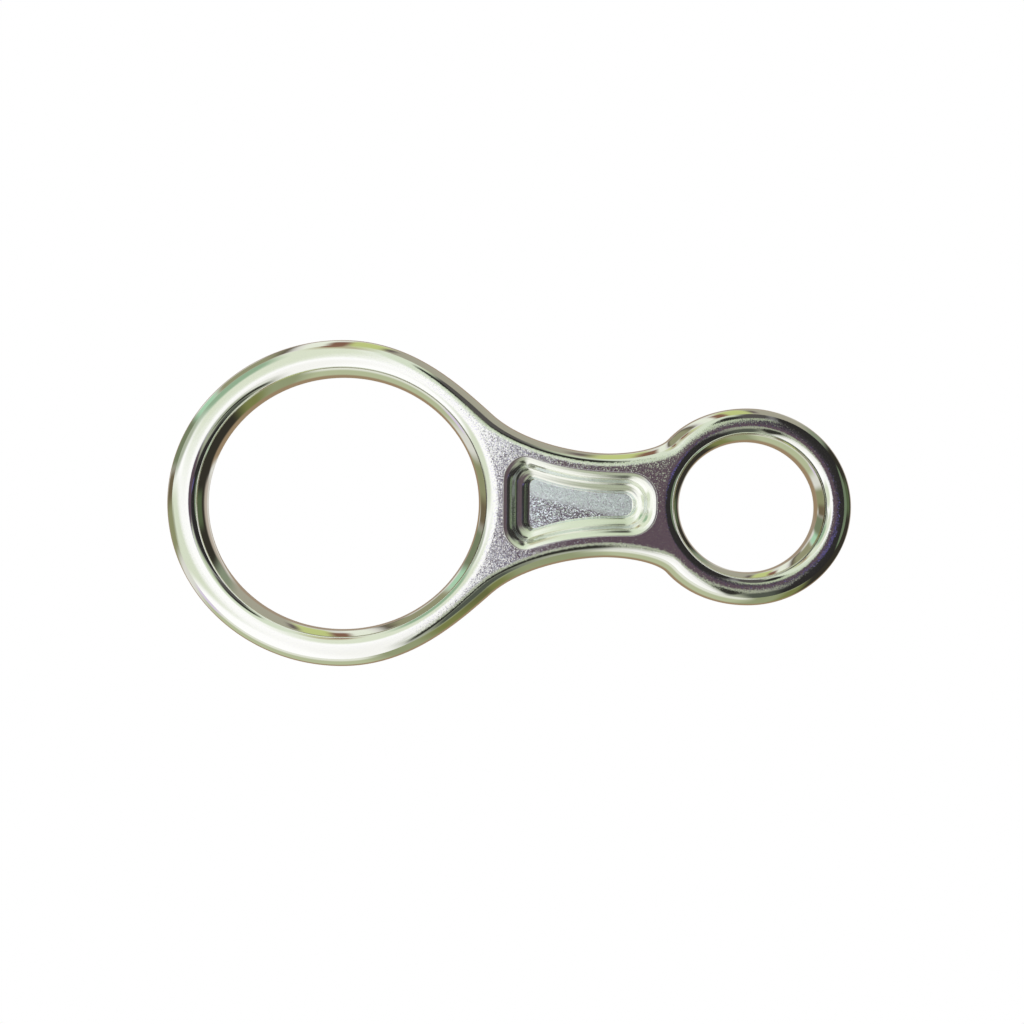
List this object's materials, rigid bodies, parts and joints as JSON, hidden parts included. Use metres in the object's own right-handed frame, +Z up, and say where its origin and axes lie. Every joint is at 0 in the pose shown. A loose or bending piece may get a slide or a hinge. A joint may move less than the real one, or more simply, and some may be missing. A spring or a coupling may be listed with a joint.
{
  "type": "figure eight descender",
  "caption": "Forged figure eight descender: a large rope eye and a smaller carabiner eye of oval section, joined by a waisted neck with a stepped pocket in each face.",
  "frame": {"origin": "on the face it rests on, under the middle of its length and width", "axes": "+X along its length from the rope eye to the carabiner eye, +Y across it, +Z up through its thickness"},
  "size_m": [0.1258, 0.06, 0.012],
  "materials": {
    "polished_aluminium": "polished, with satin faces on the neck and a grained pocket floor"
  },
  "bodies": {
    "root": {"descender_body": "polished_aluminium"}
  },
  "joints": []
}
